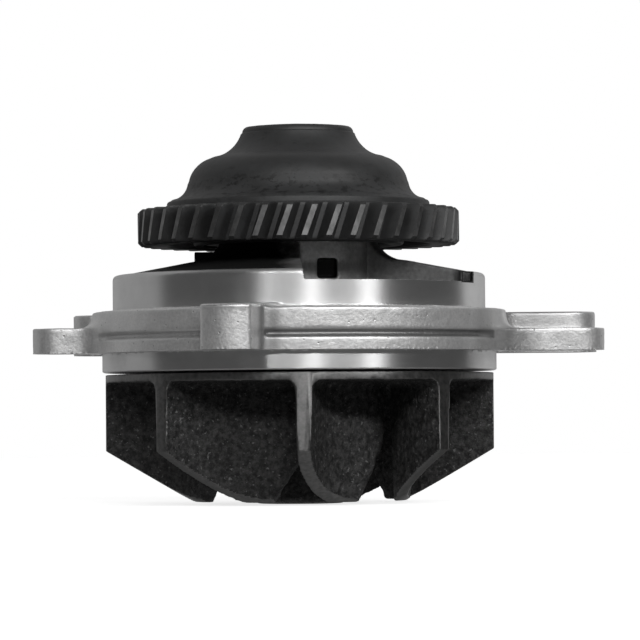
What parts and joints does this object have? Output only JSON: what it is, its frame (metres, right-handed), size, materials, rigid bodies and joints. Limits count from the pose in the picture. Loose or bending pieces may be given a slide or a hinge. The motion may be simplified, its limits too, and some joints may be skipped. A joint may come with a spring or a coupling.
{
  "type": "water pump",
  "caption": "Gear-driven engine coolant pump: helical gear with a domed hub, eared aluminium cartridge flange, and an open iron impeller with hooked vanes.",
  "frame": {"origin": "on the shaft axis in the plane of the flange's gasket face, where the lower pilot spigot starts", "axes": "+Z along the shaft towards the drive gear, -Z towards the impeller, -Y the front with the round full-height bolt boss, +X towards the long pair of ears"},
  "size_m": [0.154, 0.1312, 0.1018],
  "materials": {
    "cast_aluminium": "as cast, turned bright on the spigots",
    "black_steel": "matte black oxide",
    "cast_iron": "coarse sand cast, turned on the rim",
    "bearing_steel": "ground",
    "spring_steel": "drawn wire and pressed sheet",
    "cage_plastic": "moulded nylon",
    "seal_rubber": "matte",
    "seal_brass": "pressed sheet",
    "carbon": "lapped graphite",
    "seat_ceramic": "lapped"
  },
  "bodies": {
    "housing": {"housing": "cast_aluminium", "bearing_outer_ring": "bearing_steel", "bearing_seal_gear_side": "seal_rubber", "bearing_seal_impeller_side": "seal_rubber", "bearing_circlip": "spring_steel", "oil_seal_case": "spring_steel", "oil_seal_lip": "seal_rubber", "oil_seal_garter_spring": "spring_steel", "water_seal_cup": "seal_brass", "water_seal_bellows": "seal_rubber", "water_seal_spring": "spring_steel", "carbon_ring": "carbon"},
    "rotor": {"shaft": "bearing_steel", "drive_gear": "black_steel", "impeller": "cast_iron", "seat_ring": "seat_ceramic", "seat_cup": "seal_rubber", "slinger": "spring_steel"},
    "ball_train": {"bearing_balls": "bearing_steel", "ball_cage": "cage_plastic"},
    "roller_train": {"bearing_rollers": "bearing_steel", "roller_cage": "cage_plastic"}
  },
  "joints": [
    {"name": "rotor_spin", "type": "hinge", "parent": "housing", "child": "rotor", "pos_m": [0, 0, 0], "axis": [0, 0, 1], "continuous": true},
    {"name": "ball_train_spin", "type": "hinge", "parent": "housing", "child": "ball_train", "pos_m": [0, 0, 0], "axis": [0, 0, 1], "continuous": true},
    {"name": "roller_train_spin", "type": "hinge", "parent": "housing", "child": "roller_train", "pos_m": [0, 0, 0], "axis": [0, 0, 1], "continuous": true}
  ],
  "couplings": [
    {"joint": "ball_train_spin", "follows": "rotor_spin", "ratio": 0.3639},
    {"joint": "roller_train_spin", "follows": "rotor_spin", "ratio": 0.3988}
  ]
}
